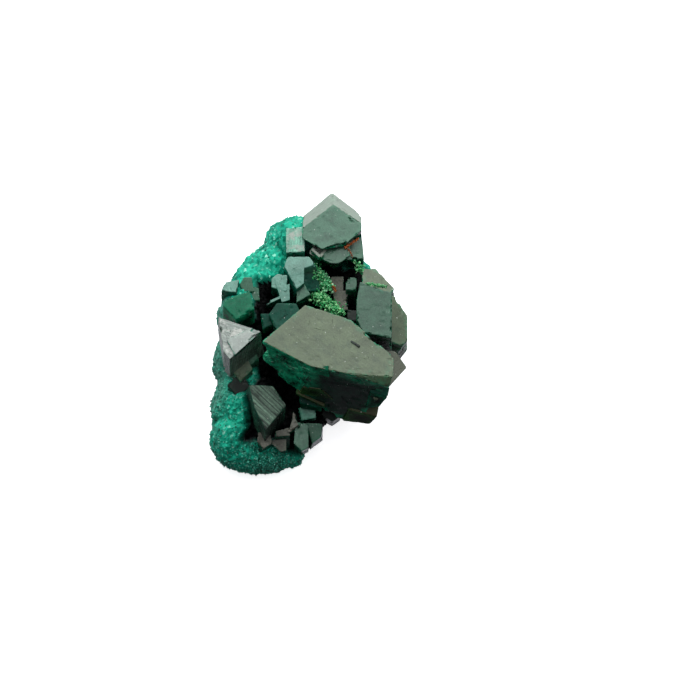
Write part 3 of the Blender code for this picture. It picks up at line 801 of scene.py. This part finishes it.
def crust(name, dark, middle, bright, hollow, wall, gloss):
    """A granular crust with painted glints: hex colours from painted crevice shade to lit crest, for the
    painted hollow shade and the painted sheen of the wall.
    """
    material, tree = new_material(name)
    where = add(tree, "TexCoord").outputs["Object"]
    field = {key: add(tree, "Attribute", {"attribute_name": key}).outputs["Fac"]
             for key in ("crest", "hollow", "wall")}
    wander = add(tree, "TexNoise", Vector=where, Scale=WANDER, Detail=7.0, Roughness=0.7)
    fine = add(tree, "TexNoise", Vector=where, Scale=FELT, Detail=6.0, Roughness=0.75)
    facets = add(tree, "TexVoronoi", Vector=where, Scale=1 / (GRAIN * MM))
    own = add(tree, "SeparateColor", in0=facets.outputs["Color"])

    # The colour level mixes random tone with painted shade, higher on crests and lower in crevices.
    level = add(tree, "Math", TIMES, in0=wander, in1=0.84)
    level = add(tree, "Math", TIMES_PLUS, in0=field["crest"], in1=0.38, in2=level)
    level = add(tree, "Math", TIMES_PLUS, in0=fine, in1=0.60, in2=level)
    level = add(tree, "Math", TIMES_PLUS, in0=own, in1=0.16, in2=level)
    level = add(tree, "Math", TIMES, in0=level, in1=0.84)
    ramp = add(tree, "ValToRGB", in0=level)
    stops = ramp.color_ramp.elements
    stops[0].position, stops[0].color = 0.61, colour(dark)
    stops[1].position, stops[1].color = 1.0, colour(bright)
    stops.new(0.79).color = colour(middle)
    # Painted glint: a few random grains on the crests are mixed towards near-white, as if they caught the
    # light.
    painted_glint = add(tree, "MapRange", in0=own.outputs[2], in1=0.88, in2=0.90, in3=0.0, in4=0.75)
    ragged = add(tree, "MapRange", in0=fine, in1=0.48, in2=0.58, in3=0.0, in4=1.0)
    high = add(tree, "Math", TIMES, in0=ragged, in1=field["crest"])
    glint_mask = add(tree, "Math", TIMES, in0=painted_glint, in1=high)
    glinted = add(tree, "Mix", COLOURS, in0=glint_mask, in6=ramp, in7=colour("#B8F5E0"))
    # Painted sheen: the far-left wall is mixed towards a paler grey-green, standing in for grazing light.
    side = add(tree, "Math", TIMES, in0=field["wall"], in1=0.7)
    walled = add(tree, "Mix", COLOURS, in0=side, in6=glinted.outputs["Result"], in7=colour(wall))
    # Painted shade: the sunken hollow among the crystals is mixed to near-black.
    base = add(tree, "Mix", COLOURS, in0=field["hollow"], in6=walled.outputs["Result"],
               in7=colour(hollow))
    rough = add(tree, "MapRange", in0=own.outputs[1], in1=0.0, in2=1.0, in3=0.25, in4=0.75)

    tilt = add(tree, "VectorMath", TIMES_PLUS, in0=facets.outputs["Color"], in1=(0.9, 0.9, 0.9),
               in2=(-0.45, -0.45, -0.45))
    turned = add(tree, "VectorMath", {"operation": "ADD"}, in0=tilt,
                 in1=add(tree, "NewGeometry").outputs["Normal"])
    facing = add(tree, "VectorMath", {"operation": "NORMALIZE"}, in0=turned)
    bump = add(tree, "Bump", Strength=0.6, Distance=0.00012, Height=fine, Normal=facing)
    shader = add(tree, "BsdfPrincipled", Base_Color=base.outputs["Result"], Roughness=rough, IOR=1.6,
                 Specular_IOR_Level=gloss, Normal=bump)
    add(tree, "OutputMaterial", Surface=shader)
    return material


# %% Teal crust and painted shade in the hollow
def second_finish(obj, field, limit):
    """Give an object's second material to the faces whose first corner has field past limit."""
    value = np.empty(len(obj.data.vertices), dtype=np.float32)
    obj.data.attributes[field].data.foreach_get("value", value)
    first = np.empty(len(obj.data.polygons), dtype=np.int32)
    obj.data.polygons.foreach_get("loop_start", first)
    corner = np.empty(len(obj.data.loops), dtype=np.int32)
    obj.data.loops.foreach_get("vertex_index", corner)
    chosen = value[corner[first]] > limit
    obj.data.polygons.foreach_set("material_index", chosen.astype(np.int32))
    return int(chosen.sum())


DEEP_IN = 0.97                               # how far into the hollow its near-black painted shade starts
rock.data.materials.append(crust("matrix_teal_crust", "#01281F", "#02846A", "#1BB592", hollow="#020304",
                                 wall="#4C8270", gloss=0.12))
# Painted shade: the faces deepest in the hollow get a near-black second crust.
rock.data.materials.append(crust("matrix_hollow_floor", "#010202", "#020403", "#07120E", hollow="#010202",
                                 wall="#020403", gloss=0.03))
print(second_finish(rock, "hollow", DEEP_IN), "faces lie in the hollow")
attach(rock, "root")
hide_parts("matrix_rock")

# %% [markdown]
# ## Druse
# Druse is a carpet of crystals too small to name. One six-sided crystal with a pointed end is copied
# thousands of times as whole arrays, each copy turned, stretched and sunk into the rock by its own
# random numbers. Instances would be lighter, but then each copy would be a piece of its own.

# %% One tiny crystal
def tiny_crystal():
    """A six-sided prism, pointed above and flat below: 14 points, 24 triangles."""
    angle = np.arange(6) * math.pi / 3
    ring = np.stack([np.cos(angle), np.sin(angle)], axis=1)
    low = np.column_stack([ring, np.full(6, -0.6)])
    mid = np.column_stack([ring, np.where(np.arange(6) % 2, 0.55, 0.85)])
    points = np.concatenate([low, mid, [[0, 0, 1.35]], [[0, 0, -0.6]]])
    faces = []
    for k in range(6):
        n = (k + 1) % 6
        faces += [(k, n, 6 + n), (k, 6 + n, 6 + k), (6 + k, 6 + n, 12), (n, k, 13)]
    return points, np.array(faces)


print("a tiny crystal has", len(tiny_crystal()[1]), "triangles")


# %% Druse carpet
def carpet(name, seats, outward, sizes, seed, lean):
    """Copy the tiny crystal to each seat, its axis the outward way bent by lean.

    A corner is at seat + x width side + y width third + z height axis.
    """
    rng = np.random.default_rng(seed)
    shape, faces = tiny_crystal()
    axis = outward + lean * rng.normal(size=outward.shape)
    axis /= np.linalg.norm(axis, axis=1)[:, None]
    side = np.cross(axis, rng.normal(size=axis.shape))
    side /= np.linalg.norm(side, axis=1)[:, None]
    third = np.cross(axis, side)
    width = sizes * rng.uniform(0.7, 1.1, len(sizes))
    tall = sizes * rng.uniform(0.8, 1.7, len(sizes))
    local = (shape[None, :, 0:1] * side[:, None] * width[:, None, None]
             + shape[None, :, 1:2] * third[:, None] * width[:, None, None]
             + shape[None, :, 2:3] * axis[:, None] * tall[:, None, None])
    points = (seats[:, None] + local).reshape(-1, 3)
    points[:, 2] = np.maximum(points[:, 2], 0.02)
    tris = (faces[None] + (np.arange(len(seats)) * len(shape))[:, None, None]).reshape(-1, 3)
    mesh = bpy.data.meshes.new(name)
    mesh.from_pydata((points * MM).tolist(), [], tris.tolist())
    tone = np.repeat(rng.uniform(0, 1, len(seats)), len(shape)).astype(np.float32)
    mesh.attributes.new("tone", "FLOAT", "POINT").data.foreach_set("value", tone)
    return into_scene(name, mesh)


# %% [markdown]
# ## Druse finish
# Crystals this small look like single bright or dark spots. A ramp on each one's own random tone
# gives that, where a pattern in space would run across from one crystal to the next.

# %% Druse finish
def tiny_finish(name, dark, middle, bright):
    """Small clear crystals: each takes its own place between three hex colours."""
    material, tree = new_material(name)
    tone = add(tree, "Attribute", {"attribute_name": "tone"}).outputs["Fac"]
    ramp = add(tree, "ValToRGB", in0=tone)
    stops = ramp.color_ramp.elements
    stops[0].position, stops[0].color = 0.0, colour(dark)
    stops[1].position, stops[1].color = 1.0, colour(bright)
    stops.new(0.6).color = colour(middle)
    shader = add(tree, "BsdfPrincipled", Base_Color=ramp, Roughness=0.25, IOR=1.67,
                 Specular_IOR_Level=0.3)
    add(tree, "OutputMaterial", Surface=shader)
    return material


# %% Druse on the rock
SPRINKLED, THIN_BACK = 6500, 0.12            # crystals drawn, and the share kept on the back half
rng = np.random.default_rng(4)
outer = np.flatnonzero((shape[:, 2] > 0.4) & (hollow < 0.5))
picks = rng.choice(outer, SPRINKLED, replace=False)
picks = picks[(shape[picks, 1] < -4) | (rng.uniform(size=len(picks)) < THIN_BACK)]
teal_druse = carpet("teal_druse", shape[picks], rays[picks], rng.uniform(0.06, 0.15, len(picks)), 8, 0.5)
teal_druse.data.materials.append(tiny_finish("druse_teal_crystals", "#05523F", "#0E9276", "#6AD8BB"))
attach(teal_druse, "root")
print(len(picks), "teal crystals on the rock")

# %% [markdown]
# ## Seams of druse and rust
# Bright green druse fills the recess behind the big crystal and runs in thin seams where crystals
# meet, and limonite, which is rusted iron, stains a few of them orange. Each seam is strewn along a
# line, as fine crystals sit in a crack: crowded along it, with a little spread.

# %% Seams
GRASS = tiny_finish("druse_grass_green_crystals", "#1D7440", "#43AC66", "#A4E6A4")
MINT = tiny_finish("druse_mint_green_crystals", "#2B9152", "#5CC482", "#B4EDBC")
RUST = tiny_finish("limonite_iron_stain", "#6A2A0C", "#B5561C", "#E08A48")
SEAMS = (                                    # name, ends in the plan, count, spread in mm, finish, node
    ("upper_green_druse", (-0.3, 11.2, 12.0), (2.9, 7.6, 11.6), 1700, 0.45, MINT, "upper_druse"),
    ("lower_green_druse", (0.9, 6.3, 11.3), (4.8, 2.9, 11.0), 1600, 0.43, GRASS, "lower_druse"),
    ("shoulder_seam", (9.1, 3.5, 19.6), (12.2, 3.0, 19.5), 420, 0.13, GRASS, None),
    ("flank_seam", (-0.3, 10.8, 13.0), (2.0, 8.3, 12.8), 200, 0.45, GRASS, None),
    ("crown_green_seam", (7.6, 11.0, 13.4), (8.4, 9.6, 12.8), 90, 0.30, GRASS, None),
    ("druse_rust_edge", (3.3, 8.1, 12.2), (4.1, 6.6, 12.0), 160, 0.10, RUST, None),
    ("crown_rust_seam", (5.6, 12.4, 15.8), (7.7, 14.2, 15.6), 420, 0.10, RUST, None),
    ("crown_rust_crack", (6.1, 12.3, 15.6), (6.8, 11.6, 14.5), 160, 0.08, RUST, None),
)


def seam(name, start, end, count, spread, material, node, seed):
    """Fine crystals strewn along a crack: start + t (end - start), t even, plus a little spread."""
    rng = np.random.default_rng(seed)
    t = rng.uniform(0, 1, (count, 1))
    run = np.array(end) - np.array(start)
    seats = np.array(start) + PLAN + t * run + spread * rng.normal(size=(count, 3))
    sizes = min(1.0, spread / 0.3) * rng.uniform(0.08, 0.20, count)
    strewn = carpet(name, seats, np.tile((0.0, -0.3, 1.0), (count, 1)), sizes, seed, 0.7)
    strewn.data.materials.append(material)
    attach(strewn, "root")
    if node:
        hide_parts(node)
    return strewn


seams = [seam(*row, 51 + i) for i, row in enumerate(SEAMS)]
print(len(seams), "seams,", sum(len(s.data.polygons) for s in seams), "triangles")

# %% [markdown]
# ## The floor
# A plain white light table, wide enough to fill every view. Its own glow keeps it evenly white
# with only a faint shadow. The stone doesn't see it, so the glassy front faces keep their depth.

# %% Floor
floor_mesh = bpy.data.meshes.new("floor")
FLOOR_HALF, FLOOR_LEVEL = 3.0, -0.02 * MM
floor_mesh.from_pydata([(x * FLOOR_HALF, y * FLOOR_HALF, FLOOR_LEVEL)
                        for x, y in ((-1, -1), (1, -1), (1, 1), (-1, 1))], [], [(0, 1, 2, 3)])
floor = into_scene("floor", floor_mesh)
floor.visible_glossy = False
floor.visible_diffuse = False
paper = bpy.data.materials.new("matt_white_light_table")
paper.use_nodes = True
paper_shader = paper.node_tree.nodes["Principled BSDF"]
paper_shader.inputs["Base Color"].default_value = colour("#F7F7F7")
paper_shader.inputs["Roughness"].default_value = 0.9
paper_shader.inputs["Specular IOR Level"].default_value = 0.0
paper_shader.inputs["Emission Color"].default_value = colour("#FFFFFF")
paper_shader.inputs["Emission Strength"].default_value = 0.80
floor.data.materials.append(paper)
print("floor is", 2 * FLOOR_HALF, "m wide")
